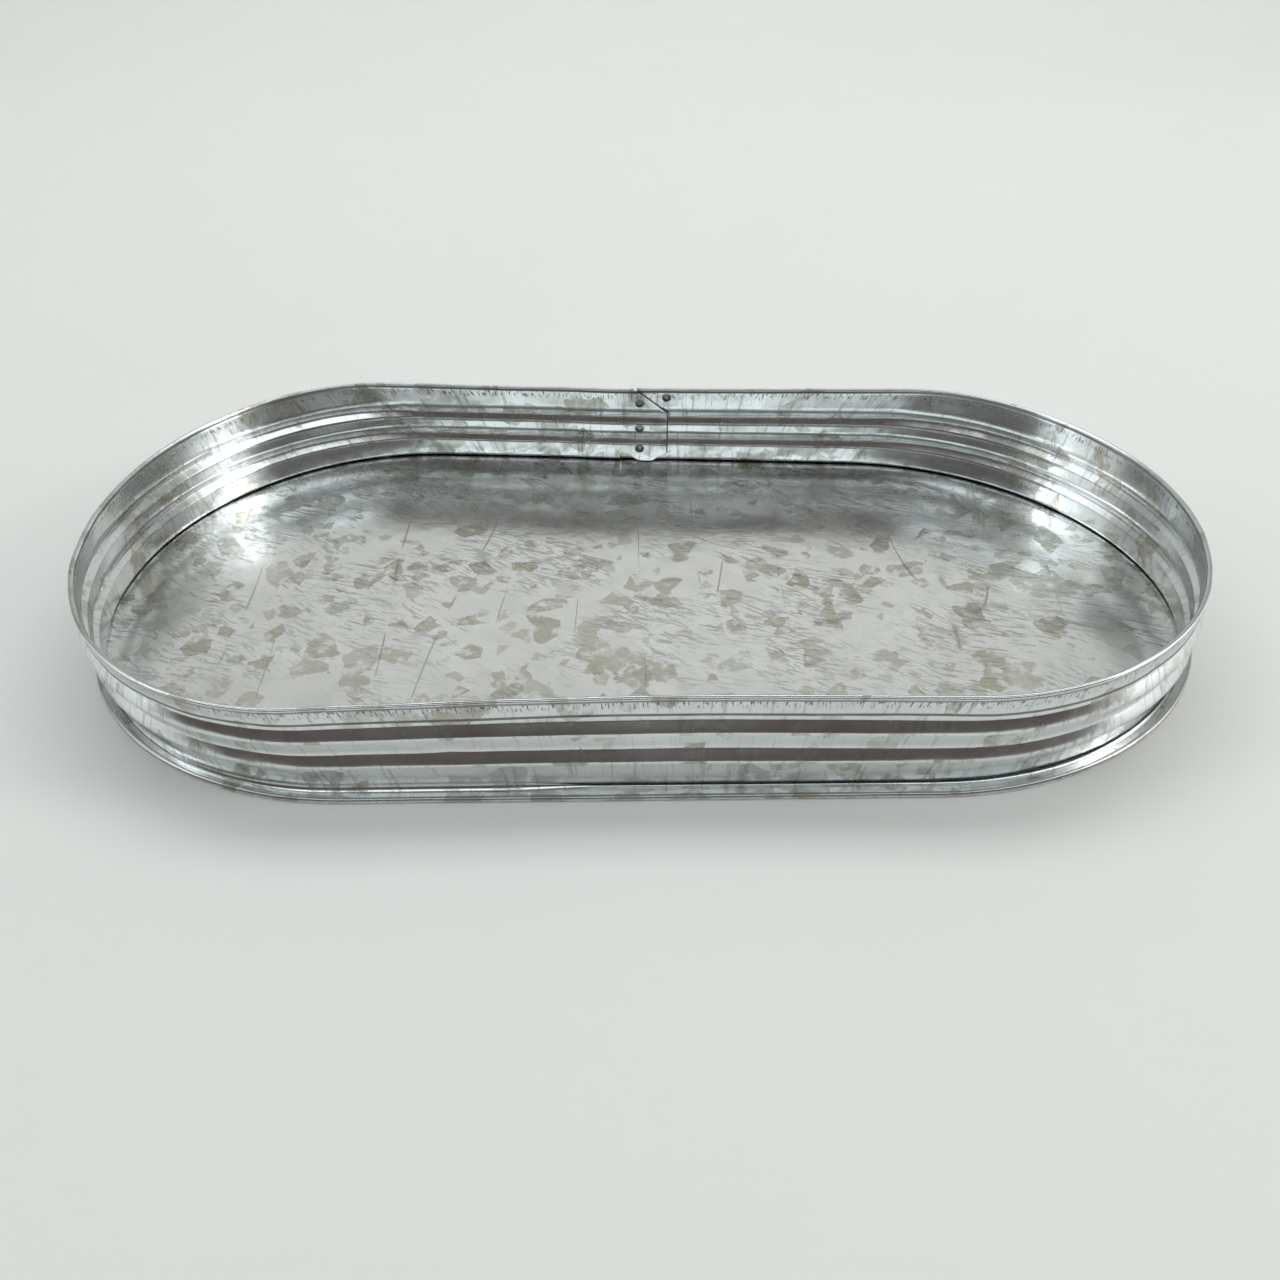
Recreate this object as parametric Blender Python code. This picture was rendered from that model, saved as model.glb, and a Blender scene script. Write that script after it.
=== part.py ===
"""Small galvanised livestock water trough: an oval sheet-steel tray.

One long wall strip, stiffened by two outward beads and an outward folded hem, runs round the
oval and laps over its own start at the middle of the back, where four spot welds hold it.
The strip's foot is turned outward, and the edge of the flat base pan is crimped round it.

Metres, +Z up, the base's centre at the origin, +X along the trough, +Y towards the seam.
"""
import math

import bmesh
import bpy
from mathutils import Matrix, Vector

# Sheet steel, and the clearances between the layers of the lap and of the crimp
SHEET = 0.0005
LAP_GAP = 0.00035
CRIMP_GAP = 0.0005

# Base: a stadium outline measured to the outside of the crimped edge
BASE_HALF_LENGTH = 0.2281
BASE_HALF_WIDTH = 0.1251
CRIMP_REACH = 0.0046

# The front of the wall stands back from the crimp by this much more than the rest
FRONT_INSET = 0.0015

# Rim outline, on the middle of the sheet.  The end arcs meet the sides at a slight kink,
# and the sides bow in between the kinks.
RIM_HALF_LENGTH = 0.2228
RIM_CENTRE_X = -0.0018
RIM_BACK_HALF_WIDTH = 0.1170
RIM_FRONT_HALF_WIDTH = 0.1228
RIM_BACK_ARC_CENTRE = 0.1263
RIM_FRONT_ARC_CENTRE = 0.1126
RIM_BACK_KINK = 0.077
RIM_FRONT_KINK = 0.045
RIM_BACK_BOW = 0.0026
RIM_FRONT_BOW = 0.0031

# The hand-formed oval narrows, and its rim rises, a little towards +X
TAPER = 0.24
WALL_HEIGHT = 0.0434
RIM_RISE = 0.0088

# Wall section: heights are fractions of the wall height.  The beads run a little higher at the
# front than at the back, and climb over this reach of Y round the ends.
LOWER_BEAD_BACK = (0.245, 0.420)
UPPER_BEAD_BACK = (0.537, 0.711)
LOWER_BEAD_FRONT = (0.303, 0.458)
UPPER_BEAD_FRONT = (0.604, 0.756)
BEAD_CLIMB_REACH = 0.08
BEAD_DEPTH = 0.0018
BEAD_STEPS = 6
ROLL_RADIUS = 0.00055
ROLL_STEPS = 5
HEM_DEPTH = 0.0082
HEM_FOOT_OFFSET = 0.00085
FOOT_BEND_RADIUS = 0.0015
FOOT_BEND_STEPS = 3
FOOT_LENGTH = 0.00345

# Crimped edge of the pan
CRIMP_STEPS = 6
CRIMP_FOLD_LENGTH = 0.0024

# Lap seam near the middle of the back, by X
OUTER_LAP_START = -0.0130
LAP_FOOT_END = -0.0135
LAP_NOTCH_LENGTH = 0.0020
JOGGLE_START = -0.0450
JOGGLE_END = -0.0150
JOGGLE_STEPS = 6
INNER_HEM_END = -0.0064
OUTER_HEM_START = -0.0049
INNER_LAP_END = 0.0108
LAP_FOOT_HEIGHT = 0.0032
LAP_BOTTOM = 0.0011

# Corners cut off the inner lap: (X, height) of both ends of each cut
UPPER_CLIP = ((-0.0060, 0.0430), (0.0112, 0.0290))
LOWER_CLIP = ((0.0028, 0.0011), (0.0108, 0.0069))

# Spot welds
WELD_RADIUS = 0.0019
WELD_DISH = 0.00012
WELD_DISH_SHARE = 0.45
WELD_SIDES = 24
WELD_CLEARANCE = 0.0003
LAP_WELD_X = -0.0035
LAP_WELD_HEIGHTS = (0.0352, 0.0206, 0.0083)
HEM_WELD = (0.0098, 0.0383)

# Facets along each stretch of the oval
ARC_STEPS = 10
FRONT_STEPS = 8
BACK_STEPS = 4

STEEL_COLOUR = (0.60, 0.62, 0.63, 1.0)
PAN_COLOUR = (0.64, 0.65, 0.65, 1.0)
WELD_COLOUR = (0.33, 0.35, 0.36, 1.0)


class Oval:
    """A closed outline of two sides and four quarter arcs, whose sides may bow inward."""

    def __init__(self, half_length, back, front, centre_x=0.0):
        self.half_length = half_length
        self.back = back
        self.front = front
        self.centre_x = centre_x

    def side(self, name):
        return self.back if name == "back" else self.front

    def place(self, x, y):
        x += self.centre_x
        return Vector((x, y * (1.0 - TAPER * x)))

    def kink_x(self, name):
        side = self.side(name)
        reach = self.half_length - side["arc_centre"]
        return side["arc_centre"] + reach * math.sin(side["kink"])

    def straight(self, name, x):
        """Point on a side at distance x from the middle of the oval."""
        side = self.side(name)
        bow = side["bow"] * math.cos(0.5 * math.pi * x / self.kink_x(name))
        y = side["half_width"] - bow
        return self.place(x, y if name == "back" else -y)

    def quarter(self, name, sign, share):
        """Point on a quarter arc: share 0 is the tip of the end, 1 is the kink."""
        side = self.side(name)
        angle = share * (0.5 * math.pi - side["kink"])
        reach = self.half_length - side["arc_centre"]
        x = side["arc_centre"] + reach * math.cos(angle)
        y = side["half_width"] / math.cos(side["kink"]) * math.sin(angle)
        return self.place(sign * x, y if name == "back" else -y)


def plain_oval(half_length, half_width, front_inset=0.0):
    """Straight sides and round ends; the front side may stand further in."""
    back = {"half_width": half_width, "arc_centre": half_length - half_width, "kink": 0.0, "bow": 0.0}
    front = dict(back, half_width=half_width - front_inset)
    return Oval(half_length, back, front)


RIM = Oval(
    RIM_HALF_LENGTH,
    {"half_width": RIM_BACK_HALF_WIDTH, "arc_centre": RIM_BACK_ARC_CENTRE,
     "kink": RIM_BACK_KINK, "bow": RIM_BACK_BOW},
    {"half_width": RIM_FRONT_HALF_WIDTH, "arc_centre": RIM_FRONT_ARC_CENTRE,
     "kink": RIM_FRONT_KINK, "bow": RIM_FRONT_BOW},
    RIM_CENTRE_X,
)
FOOT = plain_oval(BASE_HALF_LENGTH - CRIMP_REACH, BASE_HALF_WIDTH - CRIMP_REACH, FRONT_INSET)
EDGE = plain_oval(BASE_HALF_LENGTH - CRIMP_REACH, BASE_HALF_WIDTH - CRIMP_REACH)


def stations():
    """Places along the oval, clockwise from above, from the middle of the back.

    Each is a function that gives the point on any oval."""
    places = []

    def add_straight(name, first, last, steps):
        for step in range(steps):
            share = first + (last - first) * step / steps
            places.append(lambda oval, n=name, s=share: oval.straight(n, s * oval.kink_x(n)))

    def add_quarter(name, sign, outward):
        for step in range(ARC_STEPS):
            share = step / ARC_STEPS
            share = share if outward else 1.0 - share
            places.append(lambda oval, n=name, g=sign, s=share: oval.quarter(n, g, s))

    add_straight("back", 0.0, 1.0, BACK_STEPS)
    add_quarter("back", 1, False)
    add_quarter("front", 1, True)
    add_straight("front", 1.0, -1.0, FRONT_STEPS)
    add_quarter("front", -1, False)
    add_quarter("back", -1, True)
    add_straight("back", -1.0, 0.0, BACK_STEPS)
    return places


def outward_normals(points, closed):
    """Outward plan normals of a clockwise line of points."""
    normals = []
    count = len(points)
    for index in range(count):
        before = points[(index - 1) % count] if closed or index else points[index]
        after = points[(index + 1) % count] if closed or index < count - 1 else points[index]
        along = (after - before).normalized()
        normals.append(Vector((-along.y, along.x)))
    return normals


def arc(centre, radius, first, last, steps):
    """Points of an arc in the section plane, angles in degrees."""
    points = []
    for step in range(steps + 1):
        angle = math.radians(first + (last - first) * step / steps)
        points.append((centre[0] + radius * math.cos(angle), centre[1] + radius * math.sin(angle)))
    return points


def bead(back, front, front_share):
    """Outward bulge of the wall between two heights, which change from the back to the front."""
    low, high = (WALL_HEIGHT * (one + (other - one) * front_share) for one, other in zip(back, front))
    points = []
    for step in range(BEAD_STEPS + 1):
        share = step / BEAD_STEPS
        points.append((BEAD_DEPTH * math.sin(math.pi * share) ** 1.2, low + (high - low) * share))
    return points


FLANGE_Z = 1.5 * SHEET + CRIMP_GAP
ROLL_Z = WALL_HEIGHT - 0.5 * SHEET - ROLL_RADIUS
HEM_FOOT_Z = WALL_HEIGHT - HEM_DEPTH


def wall_section(front_share, flange_length):
    """Middle of the sheet as (outward, height) points, and the rows that trims refer to."""
    rows = [(flange_length, FLANGE_Z)]
    rows += arc((FOOT_BEND_RADIUS, FLANGE_Z + FOOT_BEND_RADIUS), FOOT_BEND_RADIUS, 270, 180,
                FOOT_BEND_STEPS)
    marks = {"lap_foot": len(rows)}
    rows.append((0.0, LAP_FOOT_HEIGHT))
    rows += bead(LOWER_BEAD_BACK, LOWER_BEAD_FRONT, front_share)
    rows += bead(UPPER_BEAD_BACK, UPPER_BEAD_FRONT, front_share)
    marks["under_hem"] = len(rows)
    rows.append((0.0, HEM_FOOT_Z - 0.0013))
    marks["wall_top"] = len(rows)
    rows += arc((ROLL_RADIUS, ROLL_Z), ROLL_RADIUS, 180, 0, ROLL_STEPS)
    rows.append((HEM_FOOT_OFFSET, HEM_FOOT_Z))
    return rows, marks


def smooth_share(value, first, last):
    share = min(max((value - first) / (last - first), 0.0), 1.0)
    return share * share * (3.0 - 2.0 * share)


def wall_columns():
    """Columns of the strip from its outer lap to its inner lap.

    Each holds its points on the foot, the crimp and the rim, its inward joggle, and the range
    of section rows that the sheet has between it and the next column."""
    rows, marks = wall_section(0.0, FOOT_LENGTH)
    last_row = len(rows) - 1
    outer_lap = (0, marks["under_hem"])
    full = (0, last_row)
    over_lap = (marks["lap_foot"], last_row)
    inner_lap = (marks["lap_foot"], marks["wall_top"])
    joggle = SHEET + LAP_GAP
    columns = []

    def add(x, trim, inward):
        columns.append({"foot": FOOT.straight("back", x), "edge": EDGE.straight("back", x),
                        "rim": RIM.straight("back", x - RIM_CENTRE_X), "trim": trim, "inward": inward})

    add(OUTER_LAP_START, outer_lap, 0.0)
    add(0.5 * (OUTER_LAP_START + OUTER_HEM_START), outer_lap, 0.0)
    add(OUTER_HEM_START, full, 0.0)
    add(0.5 * (OUTER_HEM_START + INNER_LAP_END), full, 0.0)
    add(INNER_LAP_END + WELD_RADIUS, full, 0.0)
    for place in stations()[1:-1]:
        columns.append({"foot": place(FOOT), "edge": place(EDGE), "rim": place(RIM),
                        "trim": full, "inward": 0.0})
    for step in range(JOGGLE_STEPS + 1):
        x = JOGGLE_START + (JOGGLE_END - JOGGLE_START) * step / JOGGLE_STEPS
        add(x, full, joggle * smooth_share(x, JOGGLE_START, JOGGLE_END))
    add(LAP_FOOT_END, over_lap, joggle)
    add(LAP_FOOT_END + LAP_NOTCH_LENGTH, over_lap, joggle)
    add(INNER_HEM_END, inner_lap, joggle)
    add(0.5 * (INNER_HEM_END + INNER_LAP_END), inner_lap, joggle)
    add(INNER_LAP_END, inner_lap, joggle)
    for column in columns[-4:]:
        column["bottom"] = LAP_BOTTOM
    return columns, marks, inner_lap


def steel(name, colour, roughness):
    material = bpy.data.materials.new(name)
    material.use_nodes = True
    shader = material.node_tree.nodes["Principled BSDF"]
    shader.inputs["Base Color"].default_value = colour
    shader.inputs["Metallic"].default_value = 1.0
    shader.inputs["Roughness"].default_value = roughness
    return material


def finish(mesh_data, name, material):
    """Turn a bmesh into a named, smooth-shaded object."""
    mesh = bpy.data.meshes.new(name)
    bmesh.ops.recalc_face_normals(mesh_data, faces=mesh_data.faces[:])
    mesh_data.to_mesh(mesh)
    mesh_data.free()
    mesh.materials.append(material)
    mesh.shade_smooth()
    mesh.set_sharp_from_angle(angle=math.radians(35.0))
    obj = bpy.data.objects.new(name, mesh)
    bpy.context.collection.objects.link(obj)
    return obj


def thicken(obj):
    """Give a surface the thickness of the sheet, half to each side."""
    modifier = obj.modifiers.new("sheet", "SOLIDIFY")
    modifier.thickness = SHEET
    modifier.offset = 0.0
    modifier.use_even_offset = True


def remove_loose(mesh_data):
    loose = [vert for vert in mesh_data.verts if not vert.link_faces]
    bmesh.ops.delete(mesh_data, geom=loose, context="VERTS")


def cut_corner(mesh_data, faces, clip, keep_above):
    """Cut the faces along a line in the back wall, given by (X, height) of its ends."""
    (start_x, start_z), (end_x, end_z) = clip
    outward = Vector((start_z - end_z, 0.0, end_x - start_x)) * (-1.0 if keep_above else 1.0)
    geometry = set(faces)
    for face in faces:
        geometry.update(face.edges)
        geometry.update(face.verts)
    bmesh.ops.bisect_plane(mesh_data, geom=list(geometry), plane_co=(start_x, 0.0, start_z),
                           plane_no=outward, clear_outer=True)


def build_wall(material):
    """The wall strip: a trimmed grid of columns and section rows, thickened."""
    columns, marks, inner_lap = wall_columns()
    normals = outward_normals([column["foot"] for column in columns], closed=False)
    mesh_data = bmesh.new()
    grid = []
    for column, normal in zip(columns, normals):
        verts = []
        rise = RIM_RISE * column["rim"].x
        front_share = smooth_share(-column["foot"].y, -BEAD_CLIMB_REACH, BEAD_CLIMB_REACH)
        flange_length = FOOT_LENGTH + (column["edge"] - column["foot"]).dot(normal)
        rows, _ = wall_section(front_share, flange_length)
        if "bottom" in column:
            rows[marks["lap_foot"]] = (0.0, column["bottom"])
        for outward, height in rows:
            share = height / WALL_HEIGHT
            plan = column["foot"].lerp(column["rim"], share) + normal * (outward - column["inward"])
            verts.append(mesh_data.verts.new((plan.x, plan.y, height + rise * share ** 2)))
        grid.append(verts)
    lap_faces = []
    for left, right, column in zip(grid, grid[1:], columns):
        for row in range(*column["trim"]):
            face = mesh_data.faces.new((left[row], right[row], right[row + 1], left[row + 1]))
            if column["trim"] == inner_lap:
                lap_faces.append((row, face))
    middle_row = sum(inner_lap) // 2
    upper = [face for row, face in lap_faces if row >= middle_row]
    lower = [face for row, face in lap_faces if row < middle_row]
    cut_corner(mesh_data, upper, UPPER_CLIP, keep_above=False)
    cut_corner(mesh_data, lower, LOWER_CLIP, keep_above=True)
    remove_loose(mesh_data)
    wall = finish(mesh_data, "wall_band", material)
    thicken(wall)
    return wall


def build_pan(material):
    """The base pan: a flat floor whose edge is folded up and back over the wall's foot."""
    centre = (FOOT_LENGTH - 0.0001, FLANGE_Z)
    radius = SHEET + CRIMP_GAP
    section = [(0.0, 0.5 * SHEET)]
    section += arc(centre, radius, -90, 90, CRIMP_STEPS)
    section.append((centre[0] - CRIMP_FOLD_LENGTH, centre[1] + radius))
    points = [place(EDGE) for place in stations()]
    normals = outward_normals(points, closed=True)
    mesh_data = bmesh.new()
    rings = []
    for outward, height in section:
        ring = []
        for point, normal in zip(points, normals):
            plan = point + normal * outward
            ring.append(mesh_data.verts.new((plan.x, plan.y, height)))
        rings.append(ring)
    mesh_data.faces.new(rings[0])
    count = len(points)
    for inner, outer in zip(rings, rings[1:]):
        for index in range(count):
            after = (index + 1) % count
            mesh_data.faces.new((inner[index], inner[after], outer[after], outer[index]))
    pan = finish(mesh_data, "base_pan", material)
    thicken(pan)
    return pan


def wall_place(x, height):
    """Point on the middle of the outer layer of the back wall."""
    share = height / WALL_HEIGHT
    foot = FOOT.straight("back", x)
    rim = RIM.straight("back", x - RIM_CENTRE_X)
    plan = foot.lerp(rim, share)
    return Vector((plan.x, plan.y, height))


def disc(name, radius, depth, dish, place):
    """A short round body along Y, with faces dished by a given depth."""
    mesh_data = bmesh.new()
    rings = []
    for side in (-1, 1):
        for share, sink in ((WELD_DISH_SHARE, dish), (1.0, 0.0)):
            ring = bmesh.ops.create_circle(mesh_data, segments=WELD_SIDES, radius=radius * share)["verts"]
            bmesh.ops.rotate(mesh_data, verts=ring, matrix=Matrix.Rotation(math.radians(90.0), 3, "X"))
            bmesh.ops.translate(mesh_data, verts=ring, vec=(0.0, side * (0.5 * depth - sink), 0.0))
            rings.append(ring)
    near, near_edge, far, far_edge = rings
    mesh_data.faces.new(near)
    mesh_data.faces.new(far)
    for one, other in ((near, near_edge), (near_edge, far_edge), (far_edge, far)):
        for index in range(WELD_SIDES):
            after = (index + 1) % WELD_SIDES
            mesh_data.faces.new((one[index], one[after], other[after], other[index]))
    mesh = bpy.data.meshes.new(name)
    bmesh.ops.recalc_face_normals(mesh_data, faces=mesh_data.faces[:])
    mesh_data.to_mesh(mesh)
    mesh_data.free()
    obj = bpy.data.objects.new(name, mesh)
    obj.location = place
    bpy.context.collection.objects.link(obj)
    return obj


def add_weld(index, wall, x, height, middle, depth, material):
    """A weld nugget, and the clearance hole that it sits in."""
    place = wall_place(x, height) + Vector((0.0, middle, 0.0))
    nugget = disc(f"seam_spot_weld_{index}", WELD_RADIUS, depth, WELD_DISH, place)
    nugget.data.materials.append(material)
    nugget.data.shade_smooth()
    nugget.data.set_sharp_from_angle(angle=math.radians(35.0))
    cutter = disc(f"weld_{index}_clearance", WELD_RADIUS + WELD_CLEARANCE,
                  depth + 2 * WELD_CLEARANCE, 0.0, place)
    cutter.hide_render = True
    cutter.display_type = "WIRE"
    modifier = wall.modifiers.new(f"weld_{index}", "BOOLEAN")
    modifier.operation = "DIFFERENCE"
    modifier.solver = "EXACT"
    modifier.object = cutter


def build_welds(wall, material):
    lap_depth = 2 * SHEET + LAP_GAP
    lap_middle = -0.5 * (SHEET + LAP_GAP)
    for index, height in enumerate(LAP_WELD_HEIGHTS, start=1):
        add_weld(index, wall, LAP_WELD_X, height, lap_middle, lap_depth, material)
    hem_offset = 2 * ROLL_RADIUS
    add_weld(len(LAP_WELD_HEIGHTS) + 1, wall, HEM_WELD[0], HEM_WELD[1], 0.5 * hem_offset,
             SHEET + hem_offset, material)


def main():
    for obj in list(bpy.data.objects):
        bpy.data.objects.remove(obj, do_unlink=True)
    wall = build_wall(steel("galvanised_wall", STEEL_COLOUR, 0.32))
    build_pan(steel("galvanised_pan", PAN_COLOUR, 0.36))
    build_welds(wall, steel("weld_metal", WELD_COLOUR, 0.45))


main()
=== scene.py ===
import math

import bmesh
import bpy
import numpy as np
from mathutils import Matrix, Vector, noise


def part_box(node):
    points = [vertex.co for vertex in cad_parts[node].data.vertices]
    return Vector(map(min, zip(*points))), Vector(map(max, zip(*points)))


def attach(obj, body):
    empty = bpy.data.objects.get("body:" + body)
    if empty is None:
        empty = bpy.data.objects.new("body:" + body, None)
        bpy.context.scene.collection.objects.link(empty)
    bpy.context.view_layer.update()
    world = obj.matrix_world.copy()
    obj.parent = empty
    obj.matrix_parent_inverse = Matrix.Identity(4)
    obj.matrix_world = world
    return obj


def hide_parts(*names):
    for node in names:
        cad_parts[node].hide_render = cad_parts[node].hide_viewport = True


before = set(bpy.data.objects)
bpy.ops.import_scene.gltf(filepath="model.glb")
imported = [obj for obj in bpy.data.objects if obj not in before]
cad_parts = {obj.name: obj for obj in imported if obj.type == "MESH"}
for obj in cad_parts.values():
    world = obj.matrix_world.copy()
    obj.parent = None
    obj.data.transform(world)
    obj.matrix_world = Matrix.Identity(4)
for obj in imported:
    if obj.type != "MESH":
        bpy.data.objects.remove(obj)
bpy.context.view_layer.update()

# Looks of a small galvanised livestock water trough.  The fine wall strip, pan and weld marks
# stand for the CAD solids and stay inside the CAD's box.  They add rounded beads (deeper at the
# front than the CAD's), the rolled rim, the folded hem, and the waves, dents and creases of
# hand-formed sheet, with spangled zinc on every surface.
# Metres, +Z up, the base's centre at the origin, +X along the trough, +Y towards the lap seam.

_, pan_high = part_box("base_pan")

# ---------------------------------------------------------------- driving sizes
# Sheet and crimp
SHEET = 0.0005
LAP_GAP = 0.00035
CRIMP_HEIGHT = pan_high.z
CRIMP_GAP = 0.5 * (CRIMP_HEIGHT - 3 * SHEET)
CRIMP_REACH = 0.0046
CRIMP_SETBACK = 0.0001
FOOT_LENGTH = 0.00345
FLANGE_Z = 1.5 * SHEET + CRIMP_GAP
FOLD_LENGTH = 0.0024
FOLD_DIP = 0.00004

# Plan: TAPER is the share of its width that the oval loses with each metre towards +X
TAPER = 0.24
BASE_HALF_LENGTH = pan_high.x
BASE_HALF_WIDTH = 0.1251
FRONT_INSET = 0.0015
RIM_HALF_LENGTH = 0.2228
RIM_CENTRE_X = -0.0018
RIM_BACK = {"half_width": 0.1170, "arc_centre": 0.1263, "kink": 0.077, "bow": 0.0026}
RIM_FRONT = {"half_width": 0.1228, "arc_centre": 0.1126, "kink": 0.045, "bow": 0.0031}

# Wall: RIM_RISE is how much the rim climbs with each metre towards +X
WALL_HEIGHT = 0.0434
RIM_RISE = 0.0088

# Beads, as shares of the wall's height; they run higher at the front than at the back
BEADS_BACK = (0.245, 0.420, 0.537, 0.711)
BEADS_FRONT = (0.303, 0.458, 0.604, 0.756)
BEAD_CLIMB_REACH = 0.08
# Where up a bead its ridge is, how far it stands out and how blunt it is
RIDGE_BACK = 0.50
RIDGE_FRONT = 0.28
BEAD_DEPTH_BACK = 0.0018
BEAD_DEPTH_FRONT = 0.0028
BEAD_ROUNDING = 0.16

# Rolled rim and the hem folded down outside it
ROLL_RADIUS = 0.00080
ROLL_Z = WALL_HEIGHT - 0.5 * SHEET - ROLL_RADIUS
ROLL_SWELL = 0.00038
ROLL_LIP = 0.0007
HEM_DEPTH = 0.0082
HEM_FOOT_OFFSET = 0.00078
HEM_LIP = 0.00022
HEM_LIP_SPAN = (0.86, 1.0)

# Outward sweep at the wall's foot: its height, and where it grows tall round the front left
FLARE_REACH = 0.0018
FLARE_HEIGHT = 0.0019
FLARE_FRONT_DROP = 0.0005
FLARE_TALL_EXTRA = 0.0032
FLARE_TALL_FRONT = (0.012, 0.050)
FLARE_TALL_LEFT = (0.19, 0.225)
FLARE_LEFT_SHARE = 0.6
FRONT_FADE = (0.0, 0.06)

# Lap seam, by X along the back: the ends of its layers and its clipped corners (X, height)
OUTER_LAP_START = -0.0130
LAP_FOOT_END = -0.0135
JOGGLE = (-0.0450, -0.0150)
INNER_HEM_END = -0.0064
OUTER_HEM_START = -0.0049
INNER_LAP_END = 0.0108
UPPER_CLIP = ((-0.0060, 0.0430), (0.0112, 0.0290))
LOWER_CLIP = ((0.0028, 0.0011), (0.0108, 0.0069))
LAP_BOTTOM = 0.0010
LAP_LIFT = 0.0008
LAP_LIFT_WAVES = 9.0
LAP_NOTCH_LENGTH = 0.0110

# Mesh fineness
COARSE_STEP = 0.0018
FINE_STEP = 0.0005
JOGGLE_STEP = 1.5 * FINE_STEP
SEAM_REACH = 0.047
SEAM_MARGIN = 0.012
PAN_STEP = 0.0024
KINK_REACH = 5
BEAD_STEPS = 12
UNDER_BEAD_ROWS = (0.62, 0.80, 0.93)
FLARE_STEPS = 7
ROLL_STEPS = 10
HEM_ROWS = (0.12, 0.25, 0.60, 0.88, 0.94, 1.0)
FLOOR_RINGS = 34
FLOOR_CORE = 0.015
CORE_LENGTH_SHARE = 0.985
CRIMP_STEPS = 10
FOLD_ROWS = (0.35, 0.7, 1.0)
SHARP_ANGLE = math.radians(42.0)

# Unevenness of hand-formed sheet: depth, size and seed of each wave
WALL_WAVES = ((0.00030, 0.060, 1), (0.00012, 0.021, 2), (0.00004, 0.008, 3))
FLARE_WAVE = (0.0004, 0.045, 5)
HEM_FOOT_WAVE = (0.00030, 0.025, 8)
HEM_PRESS_WAVE = (0.00010, 0.02, 9)
HEM_LIP_WAVE = (0.5, 0.006, 10)
FLOOR_WAVES = ((0.00022, 0.075, 11), (0.00008, 0.028, 12))
FOLD_WAVE = (0.00022, 0.018, 13)
# The rolled rim and the crimp bulge unevenly: mean share, spread, size and seed
ROLL_SHARES = (0.93, 0.05, 0.012, 7)
CRIMP_SHARES = (0.94, 0.05, 0.02, 14)
WAVE_HEIGHT_SCALE = 1.6
WALL_FADE = (0.0025, 0.008)
FLOOR_FADE = (0.86, 1.0)
# Blender's noise spans about 0.6 each way; the gain brings it to about -1 to 1
NOISE_GAIN = 1.6
SEED_SHIFT = 17.3


# ---------------------------------------------------------------- outlines
class Oval:
    """An outline of two sides and four quarter arcs, given for whole arrays of places."""

    def __init__(self, half_length, back, front, centre_x=0.0):
        self.half_length = half_length
        self.sides = {"back": back, "front": front}
        self.centre_x = centre_x

    def place(self, name, x, y):
        """Points in the frame of places on a side: moved along, narrowed, and mirrored in front."""
        x = x + self.centre_x
        y = y * (1.0 - TAPER * x)
        return np.stack((x, y if name == "back" else -y), axis=-1)

    def kink_x(self, name):
        """Where a side ends and its arcs start."""
        side = self.sides[name]
        reach = self.half_length - side["arc_centre"]
        return side["arc_centre"] + reach * math.sin(side["kink"])

    def straight(self, name, x):
        """Points on a side, which bows inward between its kinks."""
        side = self.sides[name]
        bow = side["bow"] * np.cos(0.5 * math.pi * x / self.kink_x(name))
        return self.place(name, x, side["half_width"] - bow)

    def quarter(self, name, sign, share):
        """Points on a quarter arc: share 0 at the tip, 1 at the kink."""
        side = self.sides[name]
        angle = share * (0.5 * math.pi - side["kink"])
        reach = self.half_length - side["arc_centre"]
        x = side["arc_centre"] + reach * np.cos(angle)
        y = side["half_width"] / math.cos(side["kink"]) * np.sin(angle)
        return self.place(name, sign * x, y)


def plain_oval(half_length, half_width, front_inset=0.0):
    """Straight sides and round ends; the front side may stand further in."""
    back = {"half_width": half_width, "arc_centre": half_length - half_width, "kink": 0.0, "bow": 0.0}
    return Oval(half_length, back, dict(back, half_width=half_width - front_inset))


RIM = Oval(RIM_HALF_LENGTH, RIM_BACK, RIM_FRONT, RIM_CENTRE_X)
FOOT = plain_oval(BASE_HALF_LENGTH - CRIMP_REACH, BASE_HALF_WIDTH - CRIMP_REACH, FRONT_INSET)
EDGE = plain_oval(BASE_HALF_LENGTH - CRIMP_REACH, BASE_HALF_WIDTH - CRIMP_REACH)


def on_back(x, rim_x):
    """Foot, edge and rim points of places on the back side, by X."""
    return FOOT.straight("back", x), EDGE.straight("back", x), RIM.straight("back", rim_x - RIM_CENTRE_X)


def on_side(name, first, last, step):
    """Points along a side of each oval, from one share of its half length to another."""
    length = abs(last - first) * FOOT.kink_x(name)
    share = np.linspace(first, last, max(2, round(length / step)), endpoint=False)
    return tuple(oval.straight(name, share * oval.kink_x(name)) for oval in (FOOT, EDGE, RIM))


def on_quarter(name, sign, to_tip, step):
    """Points along a quarter arc of each oval, towards the tip or away from it."""
    length = 0.5 * math.pi * (BASE_HALF_WIDTH - CRIMP_REACH)
    share = np.linspace(0.0, 1.0, round(length / step), endpoint=False)
    share = 1.0 - share if to_tip else share
    return tuple(oval.quarter(name, sign, share) for oval in (FOOT, EDGE, RIM))


def round_the_oval(step):
    """Points of each oval the whole way round, but for the back side."""
    return [
        on_quarter("back", 1, True, step),
        on_quarter("front", 1, False, step),
        on_side("front", 1.0, -1.0, step),
        on_quarter("front", -1, True, step),
        on_quarter("back", -1, False, step),
    ]


def soften(line, first, last):
    """Round off the kinks of a line of points, but for its first and last stretch."""
    padded = np.pad(line, ((KINK_REACH, KINK_REACH), (0, 0)), mode="edge")
    count = 2 * KINK_REACH + 1
    mean = sum(padded[shift:shift + len(line)] for shift in range(count)) / count
    softened = line.copy()
    softened[first:last] = mean[first:last]
    return softened


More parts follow.
